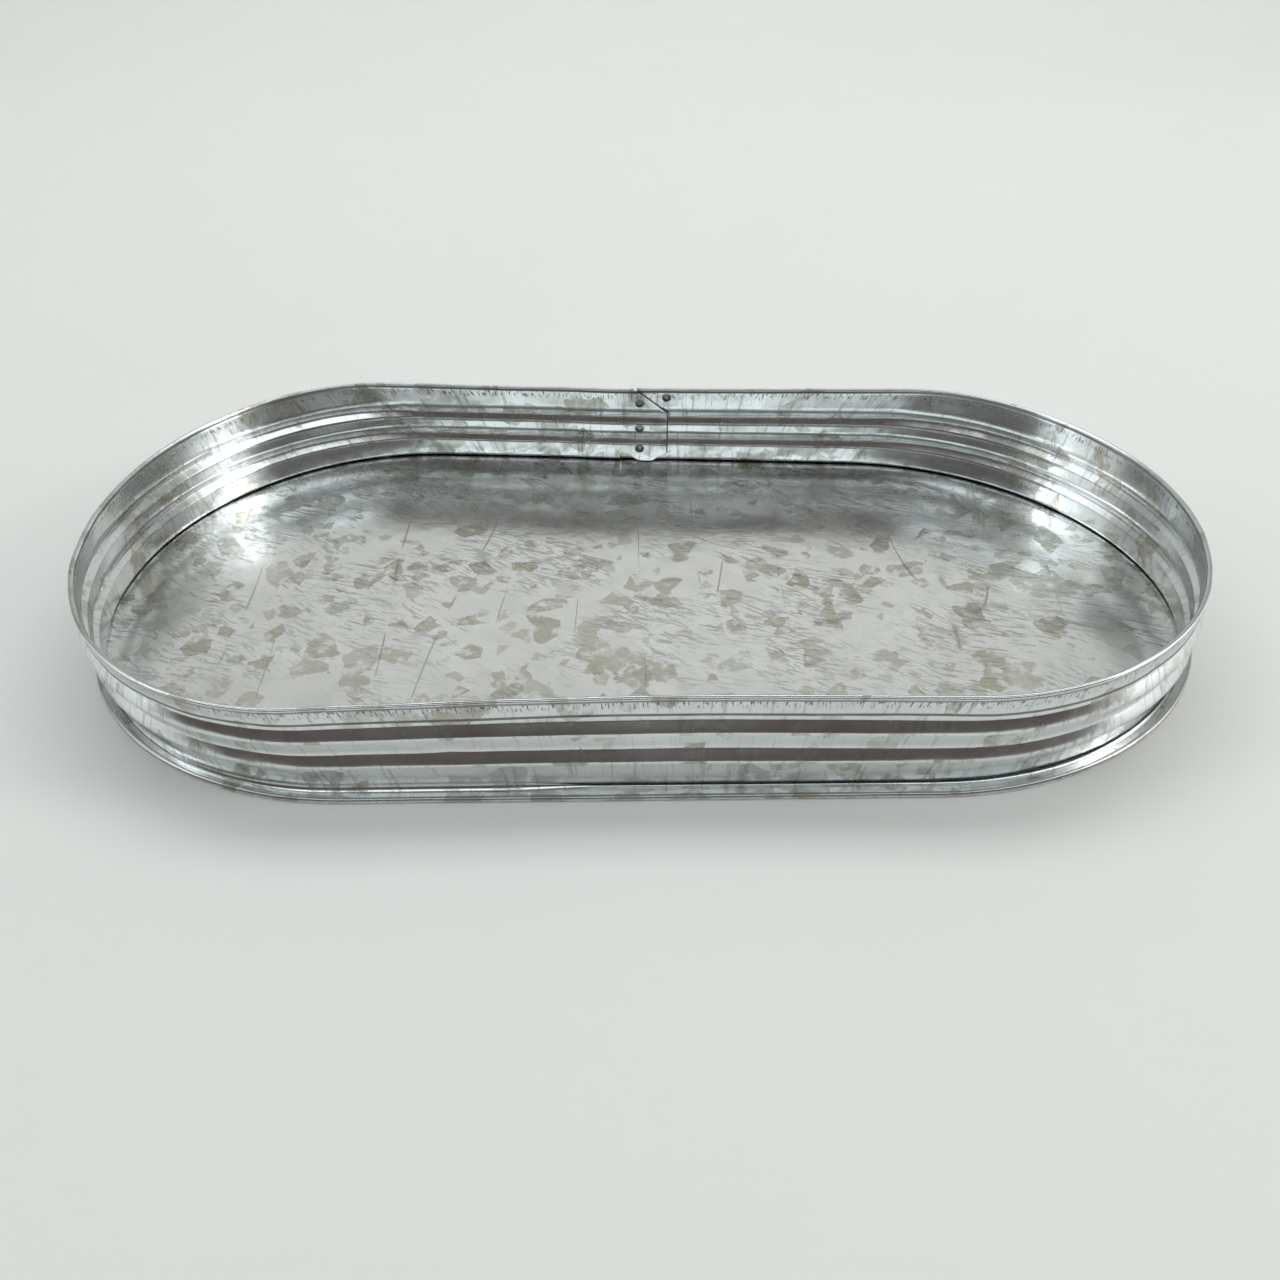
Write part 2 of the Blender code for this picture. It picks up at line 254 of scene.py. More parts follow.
def plan_normals(points, closed):
    """Outward unit normals of a clockwise line of points in plan."""
    before = np.roll(points, 1, axis=0)
    after = np.roll(points, -1, axis=0)
    if not closed:
        before[0] = points[0]
        after[-1] = points[-1]
    along = after - before
    along /= np.linalg.norm(along, axis=1, keepdims=True)
    return np.stack((-along[:, 1], along[:, 0]), axis=-1)


def raised(points, height):
    """3-D points above points in plan, at one height or a height for each."""
    return np.concatenate((points, np.broadcast_to(height, len(points))[:, None]), axis=1)


def smooth(value, low, high):
    """0 below low, 1 above high, smooth between."""
    share = np.clip((value - low) / (high - low), 0.0, 1.0)
    return share * share * (3.0 - 2.0 * share)


def wobble(points, size, seed):
    """Smooth noise from about -1 to 1 over an array of 3-D points, with features of a given size."""
    flat = points.reshape(-1, 3) / size + seed * SEED_SHIFT
    values = [noise.noise(Vector(point)) for point in flat]
    return np.array(values).reshape(points.shape[:-1]) * NOISE_GAIN


def wave(points, depth, size, seed):
    return depth * wobble(points, size, seed)


def shares(points, mean, spread, size, seed):
    """Shares that wander about a mean and keep within a spread of it."""
    return mean + spread * np.clip(wobble(points, size, seed), -1.0, 1.0)


# ---------------------------------------------------------------- the sheet's own shape
# Dents: plan position, height, radii along and up, and depth outward
DENTS = (
    ((-0.1247, 0.1165), 0.0207, 0.0022, 0.0020, 0.0006),
    ((-0.1047, 0.1165), 0.0187, 0.0030, 0.0015, 0.0003),
    ((0.1118, -0.1205), 0.0237, 0.0030, 0.0024, -0.0008),
    ((-0.060, -0.1230), 0.0225, 0.0040, 0.0022, -0.0005),
    ((0.196, 0.060), 0.0270, 0.0040, 0.0030, 0.0005),
    ((0.168, -0.090), 0.0120, 0.0060, 0.0030, -0.0004),
)
# Creases run up the wall: plan position, lowest and highest point, depth outward
CREASES = (
    ((-0.1091, -0.1230), 0.002, 0.011, -0.00028),
    ((-0.1015, 0.1205), 0.001, 0.034, 0.00022),
    ((-0.1120, 0.1205), 0.004, 0.030, -0.00016),
    ((0.1030, 0.1150), 0.004, 0.036, 0.00020),
    ((0.1080, -0.1180), 0.006, 0.036, -0.00018),
)
CREASE_WIDTH = 0.0011
CREASE_FADE_IN = 0.003
CREASE_FADE_OUT = 0.004
WELD_PULL = 0.00022
WELD_PULL_RADIUS = 0.0052


def weld_centres():
    centres = []
    for index in range(1, 5):
        low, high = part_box(f"seam_spot_weld_{index}")
        centres.append(0.5 * (low + high))
    return centres


WELDS = weld_centres()


def wall_field(foot, height):
    """How far the sheet stands outward of its ideal section: waves, dents and creases."""
    points = np.stack((np.repeat(foot[:, :1], height.shape[1], 1),
                       np.repeat(foot[:, 1:], height.shape[1], 1), height), axis=-1)
    stretched = points * np.array((1.0, 1.0, WAVE_HEIGHT_SCALE))
    field = sum(wave(stretched, *numbers) for numbers in WALL_WAVES)
    for (x, y), z, along, up, depth in DENTS:
        reach = ((points[..., 0] - x) ** 2 + (points[..., 1] - y) ** 2) / along ** 2
        reach += (points[..., 2] - z) ** 2 / up ** 2
        field += np.where(points[..., 1] * y > 0.0, depth * np.exp(-reach), 0.0)
    for (x, y), low, high, depth in CREASES:
        reach = ((points[..., 0] - x) ** 2) / CREASE_WIDTH ** 2
        span = smooth(points[..., 2], low, low + CREASE_FADE_IN)
        span = span * (1.0 - smooth(points[..., 2], high - CREASE_FADE_OUT, high))
        field += np.where(points[..., 1] * y > 0.0, depth * span * np.exp(-reach), 0.0)
    for centre in WELDS:
        reach = (points[..., 0] - centre.x) ** 2 + (points[..., 2] - centre.z) ** 2
        pull = WELD_PULL * np.exp(-reach / WELD_PULL_RADIUS ** 2)
        field += np.where(points[..., 1] > 0.0, pull, 0.0)
    return field * smooth(height, *WALL_FADE)


def flare_height(foot):
    """Height of the outward sweep at the wall's foot: low, but tall round the front left."""
    front = smooth(-foot[:, 1], *FRONT_FADE)
    along_front = smooth(-foot[:, 0], *FLARE_TALL_FRONT) * front
    round_left = smooth(-foot[:, 0], *FLARE_TALL_LEFT) * FLARE_LEFT_SHARE
    low = FLARE_HEIGHT - FLARE_FRONT_DROP * front
    tall = FLARE_TALL_EXTRA * np.maximum(along_front, round_left)
    return low + tall + wave(raised(foot, 0.0), *FLARE_WAVE)


# ---------------------------------------------------------------- meshes
def sheet_object(name, verts, faces, uvs=None):
    mesh = bpy.data.meshes.new(name)
    mesh.from_pydata(verts.tolist(), [], faces.tolist())
    if uvs is not None:
        layer = mesh.uv_layers.new(name="strip")
        corners = np.empty(len(mesh.loops), np.int32)
        mesh.loops.foreach_get("vertex_index", corners)
        layer.data.foreach_set("uv", uvs[corners].astype(np.float32).ravel())
    obj = bpy.data.objects.new(name, mesh)
    bpy.context.scene.collection.objects.link(obj)
    return obj


def thicken(obj):
    """Give a surface the sheet's thickness and shade it smooth but for its raw edges."""
    modifier = obj.modifiers.new("sheet", "SOLIDIFY")
    modifier.thickness = SHEET
    modifier.offset = 0.0
    modifier.use_even_offset = True
    graph = bpy.context.evaluated_depsgraph_get()
    mesh = bpy.data.meshes.new_from_object(obj.evaluated_get(graph))
    obj.modifiers.clear()
    obj.data = mesh
    mesh.name = obj.name
    mesh.shade_smooth()
    mesh.set_sharp_from_angle(angle=SHARP_ANGLE)


def adopt(obj, slot, *nodes):
    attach(obj, "root")
    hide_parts(*nodes)


def bead_curve(share, ridge_share, depth):
    """Outward bulge up a bead: two even slopes that meet in a rounded ridge."""
    away = np.where(share < ridge_share, 1.0 - share / ridge_share,
                    (share - ridge_share) / (1.0 - ridge_share))
    ridge = math.hypot(1.0, BEAD_ROUNDING)
    return depth * (ridge - np.hypot(away, BEAD_ROUNDING)) / (ridge - BEAD_ROUNDING)


def flat_and_bead_rows(beads, ridge_share, depth):
    """Heights and outward bulges of the rows from above the foot's sweep to under the roll."""
    low_start, low_end, high_start, high_end = (WALL_HEIGHT * share for share in beads)
    share = np.linspace(0.0, 1.0, BEAD_STEPS + 1)
    bulge = bead_curve(share, ridge_share, depth)
    under = low_start * np.array(UNDER_BEAD_ROWS)
    between = np.linspace(low_end, high_start, 5)[1:-1]
    over = np.append(np.linspace(high_end, ROLL_Z, 6)[1:-1], ROLL_Z - ROLL_LIP)
    height = np.concatenate((under, low_start + (low_end - low_start) * share, between,
                             high_start + (high_end - high_start) * share, over))
    outward = np.concatenate((np.zeros_like(under), bulge, np.zeros_like(between), bulge,
                              np.zeros_like(over)))
    return height, outward


def foot_rows(foot, edge, normals):
    """Outward and height values of the flange in the crimp and of the sweep above it."""
    inset = np.sum((edge - foot) * normals, axis=1)[:, None]
    angle = np.radians(np.linspace(270.0, 180.0, FLARE_STEPS + 1))
    sweep_out = (inset + FLARE_REACH) * (1.0 + np.cos(angle))
    sweep_up = FLANGE_Z + flare_height(foot)[:, None] * (1.0 + np.sin(angle))
    outward = np.concatenate((inset + FOOT_LENGTH, sweep_out), axis=1)
    height = np.concatenate((np.full_like(inset, FLANGE_Z), sweep_up), axis=1)
    return outward, height


def wall_rows(foot):
    """Outward and height values of the flats and beads, turning from the back's to the front's."""
    front = smooth(-foot[:, 1:], -BEAD_CLIMB_REACH, BEAD_CLIMB_REACH)
    back_up, back_out = flat_and_bead_rows(BEADS_BACK, RIDGE_BACK, BEAD_DEPTH_BACK)
    front_up, front_out = flat_and_bead_rows(BEADS_FRONT, RIDGE_FRONT, BEAD_DEPTH_FRONT)
    outward = back_out * (1.0 - front) + front_out * front
    height = back_up * (1.0 - front) + front_up * front
    return outward, height


def rim_rows(foot):
    """Outward and height values of the rolled rim and of the hem folded down outside it."""
    plan = raised(foot, 0.0)
    angle = np.radians(np.linspace(180.0, 0.0, ROLL_STEPS + 1))
    roll = ROLL_RADIUS * shares(plan, *ROLL_SHARES)[:, None]
    roll_out = roll * (1.0 + np.cos(angle)) - ROLL_SWELL
    roll_up = ROLL_Z + roll * np.sin(angle)
    hem_foot = (WALL_HEIGHT - HEM_DEPTH + wave(plan, *HEM_FOOT_WAVE))[:, None]
    pressed = HEM_FOOT_OFFSET + wave(plan, *HEM_PRESS_WAVE)[:, None]
    crest_edge = 2.0 * roll - ROLL_SWELL
    share = np.array(HEM_ROWS)
    hem_out = crest_edge + (pressed - crest_edge) * np.clip(share / HEM_ROWS[0], 0.0, 1.0)
    lip = HEM_LIP * smooth(share, *HEM_LIP_SPAN)
    hem_out = hem_out + lip * (1.0 + wave(plan, *HEM_LIP_WAVE)[:, None])
    hem_up = ROLL_Z + (hem_foot - ROLL_Z) * share
    return np.concatenate((roll_out, hem_out), axis=1), np.concatenate((roll_up, hem_up), axis=1)


def wall_sections(foot, edge, normals):
    """Outward and height values of the sheet's middle, one row of numbers for each column, and
    the places in a row where the strip is trimmed at the lap."""
    parts = (foot_rows(foot, edge, normals), wall_rows(foot), rim_rows(foot))
    outward, height = (np.concatenate([part[index] for part in parts], axis=1) for index in (0, 1))
    first_flat = parts[0][0].shape[1]
    wall_top = first_flat + parts[1][0].shape[1]
    marks = {"lap_foot": first_flat, "under_hem": wall_top - 3, "wall_top": wall_top,
             "crest": wall_top + ROLL_STEPS // 2, "last": outward.shape[1] - 1}
    return outward, height, marks


def spread(low, high, step):
    return np.linspace(low, high, max(2, round((high - low) / step)), endpoint=False)


def wall_path():
    """Columns of the strip from the outer lap to the inner lap: the name of the stretch that
    each is in, its points on the foot, the edge and the rim, and its inward joggle."""
    seam_end = INNER_LAP_END + SEAM_MARGIN
    kink = FOOT.kink_x("back")
    rim_kink = RIM.kink_x("back")
    inward = SHEET + LAP_GAP
    stretches = []

    def add(name, points, joggle=0.0):
        stretches.append((name,) + tuple(points) + (np.zeros(len(points[0])) + joggle,))

    def add_far(first_x, last_x):
        """The back beyond the seam: the rim's kink lies further out than the foot's."""
        foot_x = np.linspace(first_x, last_x, round(abs(last_x - first_x) / COARSE_STEP), endpoint=False)
        side = np.sign(first_x + last_x)
        near = min(abs(first_x), abs(last_x))
        stretch = (side * rim_kink + RIM_CENTRE_X - side * near) / (side * (kink - near))
        add("full", on_back(foot_x, side * near + (foot_x - side * near) * stretch))

    lap_x = spread(OUTER_LAP_START, OUTER_HEM_START, FINE_STEP)
    add("outer_lap", on_back(lap_x, lap_x))
    near_x = spread(OUTER_HEM_START, seam_end, FINE_STEP)
    add("full", on_back(near_x, near_x))
    add_far(seam_end, kink)
    for points in round_the_oval(COARSE_STEP):
        add("full", points)
    add_far(-kink, -SEAM_REACH)
    joggle_x = spread(-SEAM_REACH, LAP_FOOT_END, JOGGLE_STEP)
    add("full", on_back(joggle_x, joggle_x), inward * smooth(joggle_x, *JOGGLE))
    over_x = spread(LAP_FOOT_END, INNER_HEM_END, FINE_STEP)
    add("over_lap", on_back(over_x, over_x), inward)
    inner_x = np.append(spread(INNER_HEM_END, INNER_LAP_END, FINE_STEP), INNER_LAP_END)
    add("inner_lap", on_back(inner_x, inner_x), inward)
    names = [stretch[0] for stretch in stretches for _ in stretch[1]]
    foot, edge, rim, joggle = (np.concatenate([stretch[index] for stretch in stretches])
                               for index in range(1, 5))
    # the kinks are rounded off, and the finely stepped seam keeps its points
    first = sum(len(stretch[1]) for stretch in stretches[:3])
    last = len(names) - sum(len(stretch[1]) for stretch in stretches[-3:])
    foot, edge, rim = (soften(line, first - KINK_REACH, last) for line in (foot, edge, rim))
    return names, foot, edge, rim, joggle


def cut_corner(mesh_data, faces, clip, keep_above):
    """Cut the faces along a line in the back wall, given by (X, height) of its ends."""
    (start_x, start_z), (end_x, end_z) = clip
    outward = Vector((start_z - end_z, 0.0, end_x - start_x)) * (-1.0 if keep_above else 1.0)
    # a dict keeps its order, so every run gives the same mesh
    geometry = dict.fromkeys(faces)
    for face in faces:
        geometry.update(dict.fromkeys(face.edges))
        geometry.update(dict.fromkeys(face.verts))
    bmesh.ops.bisect_plane(mesh_data, geom=list(geometry), plane_co=(start_x, 0.0, start_z),
                           plane_no=outward, clear_outer=True)


def lap_lift(names, foot, height):
    """The free end of the inner lap springs a little away from the outer layer."""
    inner = np.array([name == "inner_lap" for name in names])[:, None]
    reach = smooth(foot[:, :1], 0.5 * INNER_LAP_END, INNER_LAP_END)
    uneven = 0.5 + 0.5 * np.cos(height / WALL_HEIGHT * LAP_LIFT_WAVES)
    return np.where(inner, LAP_LIFT * reach * uneven, 0.0)


def lower_lap_foot(names, foot, height, lap_row):
    """The inner lap's lowest row dips to the pan, gradually, past the notch in its foot."""
    lap = np.array([name in ("over_lap", "inner_lap") for name in names])
    dip = smooth(foot[:, 0], LAP_FOOT_END, LAP_FOOT_END + LAP_NOTCH_LENGTH)
    lowered = height[:, lap_row] + (LAP_BOTTOM - height[:, lap_row]) * dip
    height[:, lap_row] = np.where(lap, lowered, height[:, lap_row])


def strip_coordinates(foot, outward, height, crest):
    """UVs in metres: along the strip from the inner lap's end, and over the rim from its crest,
    negative inside the trough and positive outside."""
    along = np.concatenate(((0.0,), np.cumsum(np.linalg.norm(np.diff(foot, axis=0), axis=1))))
    down = np.cumsum(np.hypot(np.diff(outward[0], prepend=outward[0, 0]),
                              np.diff(height[0], prepend=height[0, 0])))
    along -= along[-1]
    down -= down[crest]
    return np.stack(np.broadcast_arrays(along[:, None], down[None, :]), axis=-1).reshape(-1, 2)


def wall_grid(names, foot, edge, rim, joggle):
    """The strip's points column by column, their UVs, and the marks of its rows."""
    normals = plan_normals(foot, closed=False)
    outward, height, marks = wall_sections(foot, edge, normals)
    lower_lap_foot(names, foot, height, marks["lap_foot"])
    share = (height / WALL_HEIGHT)[..., None]
    field = wall_field(foot, np.clip(height, 0.0, ROLL_Z)) - lap_lift(names, foot, height)
    plan = foot[:, None, :] * (1.0 - share) + rim[:, None, :] * share
    plan = plan + normals[:, None, :] * (outward - joggle[:, None] + field)[..., None]
    rise = RIM_RISE * rim[:, :1] * (height / WALL_HEIGHT) ** 2
    verts = np.concatenate((plan, (height + rise)[..., None]), axis=-1)
    return verts, strip_coordinates(foot, outward, height, marks["crest"]), marks


def wall_faces(names, trims, width):
    """The strip's faces, each stretch trimmed to its rows, and the row and index of the inner
    lap's faces."""
    faces = []
    lap_faces = []
    for column, name in enumerate(names[:-1]):
        first = column * width
        for row in range(*trims[name]):
            if name == "inner_lap":
                lap_faces.append((row, len(faces)))
            faces.append((first + row, first + width + row, first + width + row + 1, first + row + 1))
    return np.array(faces), lap_faces


def clip_lap_corners(wall, lap_faces, middle_row):
    """Clip the upper and the lower corner of the inner lap's free end."""
    mesh_data = bmesh.new()
    mesh_data.from_mesh(wall.data)
    mesh_data.faces.ensure_lookup_table()
    upper = [mesh_data.faces[face] for row, face in lap_faces if row >= middle_row]
    lower = [mesh_data.faces[face] for row, face in lap_faces if row < middle_row]
    cut_corner(mesh_data, upper, UPPER_CLIP, keep_above=False)
    cut_corner(mesh_data, lower, LOWER_CLIP, keep_above=True)
    loose = [vert for vert in mesh_data.verts if not vert.link_faces]
    bmesh.ops.delete(mesh_data, geom=loose, context="VERTS")
    bmesh.ops.recalc_face_normals(mesh_data, faces=mesh_data.faces[:])
    mesh_data.to_mesh(wall.data)
    mesh_data.free()


def build_wall(material):
    """The wall: one strip from the outer lap, round the oval, to the inner lap."""
    names, foot, edge, rim, joggle = wall_path()
    verts, uvs, marks = wall_grid(names, foot, edge, rim, joggle)
    trims = {"outer_lap": (0, marks["under_hem"]), "full": (0, marks["last"]),
             "over_lap": (marks["lap_foot"], marks["last"]),
             "inner_lap": (marks["lap_foot"], marks["wall_top"])}
    faces, lap_faces = wall_faces(names, trims, verts.shape[1])
    wall = sheet_object("wall_strip", verts.reshape(-1, 3), faces, uvs)
    clip_lap_corners(wall, lap_faces, sum(trims["inner_lap"]) // 2)
    wall.data.materials.append(material)
    thicken(wall)
    adopt(wall, "galvanised_wall", "wall_band")


def pan_outline():
    """The line where the pan's floor meets its folded edge, clockwise from the back's middle."""
    kink = FOOT.kink_x("back")
    right_back = EDGE.straight("back", spread(0.0, kink, PAN_STEP))
    left_back = EDGE.straight("back", spread(-kink, 0.0, PAN_STEP))
    around = [points[1] for points in round_the_oval(PAN_STEP)]
    return np.concatenate([right_back] + around + [left_back])


def floor_rings(line):
    """Rings of the pan's floor from a core line out to the foot, with soft swells between."""
    kink = FOOT.kink_x("back")
    core_x = np.clip(line[:, 0], -kink, kink) * CORE_LENGTH_SHARE
    core = np.stack((core_x, np.zeros(len(line))), axis=-1)
    rings = []
    for share in np.linspace(FLOOR_CORE, 1.0, FLOOR_RINGS):
        ring = core + (line - core) * share
        spots = raised(ring, 0.0)
        swell = sum(depth * (1.0 + wobble(spots, size, seed)) for depth, size, seed in FLOOR_WAVES)
        swell = np.clip(swell, 0.0, None) * (1.0 - smooth(share, *FLOOR_FADE))
        rings.append(raised(ring, 0.5 * SHEET + swell))
    return rings


def crimp_rings(line):
    """Rings of the pan's edge: round the wall's flange, then folded back in over it."""
    normals = plan_normals(line, closed=True)
    plan = raised(line, 0.0)
    radius = SHEET + CRIMP_GAP
    middle = FOOT_LENGTH - CRIMP_SETBACK
    squeeze = shares(plan, *CRIMP_SHARES)
    fold = FOLD_LENGTH + wave(plan, *FOLD_WAVE)
    rings = []
    for angle in np.radians(np.linspace(-90.0, 90.0, CRIMP_STEPS + 1)):
        out = middle + radius * math.cos(angle) * squeeze
        rings.append(raised(line + normals * out[:, None], FLANGE_Z + radius * math.sin(angle)))
    for share in FOLD_ROWS:
        out = middle - fold * share
        rings.append(raised(line + normals * out[:, None], FLANGE_Z + radius - FOLD_DIP * share))
    return rings


def close_core(pan, count):
    """Fill the narrow core that the pan's first ring of points leaves open."""
    mesh_data = bmesh.new()
    mesh_data.from_mesh(pan.data)
    mesh_data.verts.ensure_lookup_table()
    inner = [edge for edge in mesh_data.edges if edge.is_boundary and edge.verts[0].index < count]
    bmesh.ops.triangle_fill(mesh_data, edges=inner, use_beauty=True)
    bmesh.ops.recalc_face_normals(mesh_data, faces=mesh_data.faces[:])
    mesh_data.to_mesh(pan.data)
    mesh_data.free()


def build_pan(material):
    """The flat pan: rings from a core line out to the foot, then the folded and crimped edge."""
    line = pan_outline()
    rings = floor_rings(line) + crimp_rings(line)
    count = len(line)
    index = np.arange(count)
    after = np.roll(index, -1)
    faces = [np.stack((index, after, after + count, index + count), axis=-1) + ring * count
             for ring in range(len(rings) - 1)]
    pan = sheet_object("base_sheet", np.concatenate(rings), np.concatenate(faces))
    close_core(pan, count)
    pan.data.materials.append(material)
    thicken(pan)
    adopt(pan, "galvanised_pan", "base_pan")


# Radius and height above the sheet's face of a weld mark's rings, from the centre out
WELD_PROFILE = ((0.0, 0.00006), (0.0006, 0.00005), (0.0011, 0.00012), (0.0015, 0.00030),
                (0.0018, 0.00028), (0.0021, 0.00012), (0.0023, -0.00010))
WELD_SIDES = 48
WELD_UNEVENNESS = 0.10
WELD_UPRIGHT_SHARE = 1.05
WELD_SEED_SHIFT = 3.0


def weld_face(mesh_data, index, centre, face_y, way):
    """A raised ring round a small crater on one face of the lap; its outer ring comes back."""
    rings = []
    for radius, lift in WELD_PROFILE[1:]:
        ring = []
        for step in range(WELD_SIDES):
            angle = 2.0 * math.pi * step / WELD_SIDES
            spot = Vector((WELD_SEED_SHIFT * index, math.cos(angle), math.sin(angle)))
            uneven = 1.0 + WELD_UNEVENNESS * noise.noise(spot)
            x = centre.x + radius * uneven * math.cos(angle)
            z = centre.z + radius * uneven * math.sin(angle) * WELD_UPRIGHT_SHARE
            ring.append(mesh_data.verts.new((x, face_y + way * lift + WELD_PULL, z)))
        rings.append(ring)
    middle_y = face_y + way * WELD_PROFILE[0][1] + WELD_PULL
    middle = mesh_data.verts.new((centre.x, middle_y, centre.z))
    for step in range(WELD_SIDES):
        after = (step + 1) % WELD_SIDES
        mesh_data.faces.new((middle, rings[0][step], rings[0][after]))
        for inner, outer in zip(rings, rings[1:]):
            mesh_data.faces.new((inner[step], outer[step], outer[after], inner[after]))
    return rings[-1]


def build_welds(material):
    """Pinched round marks, on both faces of the lapped layers."""
    for index, centre in enumerate(WELDS, start=1):
        low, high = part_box(f"seam_spot_weld_{index}")
        mesh_data = bmesh.new()
        front = weld_face(mesh_data, index, centre, low.y, -1.0)
        back = weld_face(mesh_data, index, centre, high.y, 1.0)
        for step in range(WELD_SIDES):
            after = (step + 1) % WELD_SIDES
            mesh_data.faces.new((front[step], back[step], back[after], front[after]))
        bmesh.ops.recalc_face_normals(mesh_data, faces=mesh_data.faces[:])
        mesh = bpy.data.meshes.new(f"weld_mark_{index}")
        mesh_data.to_mesh(mesh)
        mesh_data.free()
        mesh.shade_smooth()
        mesh.materials.append(material)
        mark = bpy.data.objects.new(f"weld_mark_{index}", mesh)
        bpy.context.scene.collection.objects.link(mark)
        adopt(mark, "weld_metal", f"seam_spot_weld_{index}")


# ---------------------------------------------------------------- shader nodes
class Graph:
    """Short ways to add nodes to a shader node tree."""

    def __init__(self, tree):
        self.tree = tree

    def feed(self, socket, value):
        if isinstance(value, bpy.types.NodeSocket):
            self.tree.links.new(value, socket)
        else:
            socket.default_value = value

    def math(self, operation, first, second=0.0, third=0.0, clamp=False):
        node = self.tree.nodes.new("ShaderNodeMath")
        node.operation = operation
        node.use_clamp = clamp
        for socket, value in zip(node.inputs, (first, second, third)):
            self.feed(socket, value)
        return node.outputs[0]

    def largest(self, first, *others):
        for other in others:
            first = self.math("MAXIMUM", first, other)
        return first

    def mapped(self, source, scale=(1.0, 1.0, 1.0), rotation=(0.0, 0.0, 0.0), shift=(0.0, 0.0, 0.0)):
        node = self.tree.nodes.new("ShaderNodeMapping")
        self.feed(node.inputs["Vector"], source)
        node.inputs["Rotation"].default_value = rotation
        node.inputs["Scale"].default_value = scale
        node.inputs["Location"].default_value = shift
        return node.outputs[0]

    def noise(self, vector, scale, detail=2.0, roughness=0.5, colour=False):
        node = self.tree.nodes.new("ShaderNodeTexNoise")
        self.feed(node.inputs["Vector"], vector)
        node.inputs["Scale"].default_value = scale
        node.inputs["Detail"].default_value = detail
        node.inputs["Roughness"].default_value = roughness
        return node.outputs["Color" if colour else "Fac"]

    def cells(self, vector, scale):
        """Three random numbers for each cell of a Voronoi pattern."""
        node = self.tree.nodes.new("ShaderNodeTexVoronoi")
        self.feed(node.inputs["Vector"], vector)
        node.inputs["Scale"].default_value = scale
        split = self.tree.nodes.new("ShaderNodeSeparateColor")
        self.feed(split.inputs[0], node.outputs["Color"])
        return split.outputs

    def step(self, value, low, high):
        """0 below low, 1 above high, smooth between; the other way round if low is the higher."""
        node = self.tree.nodes.new("ShaderNodeMapRange")
        node.interpolation_type = "SMOOTHSTEP"
        self.feed(node.inputs["Value"], value)
        node.inputs["From Min"].default_value = low
        node.inputs["From Max"].default_value = high
        return node.outputs["Result"]

    def band(self, value, low, full_low, full_high, high):
        """1 between the two full values, fading to 0 at the outer two."""
        return self.math("MULTIPLY", self.step(value, low, full_low), self.step(value, high, full_high))

    def mix(self, share, first, second):
        node = self.tree.nodes.new("ShaderNodeMix")
        node.data_type = "RGBA"
        self.feed(node.inputs["Factor"], share)
        self.feed(node.inputs[6], first)
        self.feed(node.inputs[7], second)
        return node.outputs[2]

    def parts(self, vector):
        node = self.tree.nodes.new("ShaderNodeSeparateXYZ")
        self.feed(node.inputs[0], vector)
        return node.outputs

    def place(self, kind="Object"):
        node = self.tree.nodes.new("ShaderNodeTexCoord")
        return node.outputs[kind]

    def strip(self):
        node = self.tree.nodes.new("ShaderNodeUVMap")
        node.uv_map = "strip"
        return node.outputs["UV"]

    def warped(self, vector, scale, amount):
        """The vector pushed about by noise, so that edges wander."""
        push = self.noise(vector, scale, detail=3.0, colour=True)
        centred = self.tree.nodes.new("ShaderNodeVectorMath")
        centred.operation = "MULTIPLY_ADD"
        self.feed(centred.inputs[0], push)
        centred.inputs[1].default_value = (2.0 * amount,) * 3
        centred.inputs[2].default_value = (-amount,) * 3
        total = self.tree.nodes.new("ShaderNodeVectorMath")
        total.operation = "ADD"
        self.feed(total.inputs[0], vector)
        self.feed(total.inputs[1], centred.outputs[0])
        return total.outputs[0]

    def bump(self, height, distance, strength, normal=None):
        node = self.tree.nodes.new("ShaderNodeBump")
        node.inputs["Strength"].default_value = strength
        node.inputs["Distance"].default_value = distance
        self.feed(node.inputs["Height"], height)
        if normal is not None:
            self.feed(node.inputs["Normal"], normal)
        return node.outputs["Normal"]


class Material(Graph):
    """A new material and its main shader."""

    def __init__(self, name):
        self.material = bpy.data.materials.new(name)
        self.material.use_nodes = True
        super().__init__(self.material.node_tree)
        self.shader = self.tree.nodes["Principled BSDF"]

    def finish(self, colour, metallic, roughness, normal):
        """Feed the main shader's sockets."""
        self.feed(self.shader.inputs["Base Color"], colour)
        self.shader.inputs["Metallic"].default_value = metallic
        self.feed(self.shader.inputs["Roughness"], roughness)
        self.feed(self.shader.inputs["Normal"], normal)
        return self.material


# ---------------------------------------------------------------- materials
# Zinc: base colour, colour of its dull patches, roughness, patches in a metre, share of patches
WALL_ZINC = ((0.81, 0.835, 0.84, 1.0), (0.44, 0.44, 0.42, 1.0), 0.20, 95.0, 0.16)
PAN_ZINC = ((0.87, 0.88, 0.875, 1.0), (0.39, 0.39, 0.345, 1.0), 0.18, 100.0, 0.20)
CLOUD_DARKENING = 0.93
WARM_TINT = (1.04, 1.0, 0.88)
# Dark colour of marks and dirt, also used for the painted shade lines on the wall and the crimp
DIRT_AND_SHADE = (0.09, 0.09, 0.085, 1.0)
BURN = (0.07, 0.075, 0.08, 1.0)
# Patch edges wander at two scales: noise and push as multiples of the patch
PATCH_WARPS = ((1.6, 0.13), (8.0, 0.05))
PATCH_EDGE = 0.015
PATCH_FADE = (0.34, 0.52)
LARGE_PATCH_SEED = 0.37
SMALL_PATCH_SEED = 1.91
# How much each pattern adds to the roughness
ROUGH_PATCHES = 0.10
ROUGH_CLOUD = 0.12
ROUGH_GRAIN = 0.10
ROUGH_MARKS = 0.12

# Rub strokes: direction in degrees, noise along and across a stroke, threshold, zones in a metre
STROKES_SLANTED = (16.0, 110.0, 820.0, 0.54, 20.0)
STROKES_OTHER = (38.0, 130.0, 760.0, 0.55, 24.0)
# Scratches: direction in degrees, spacing, length, width and seed
SCRATCHES_UPRIGHT = (3.0, 0.030, 0.400, 0.00020, 0.2)
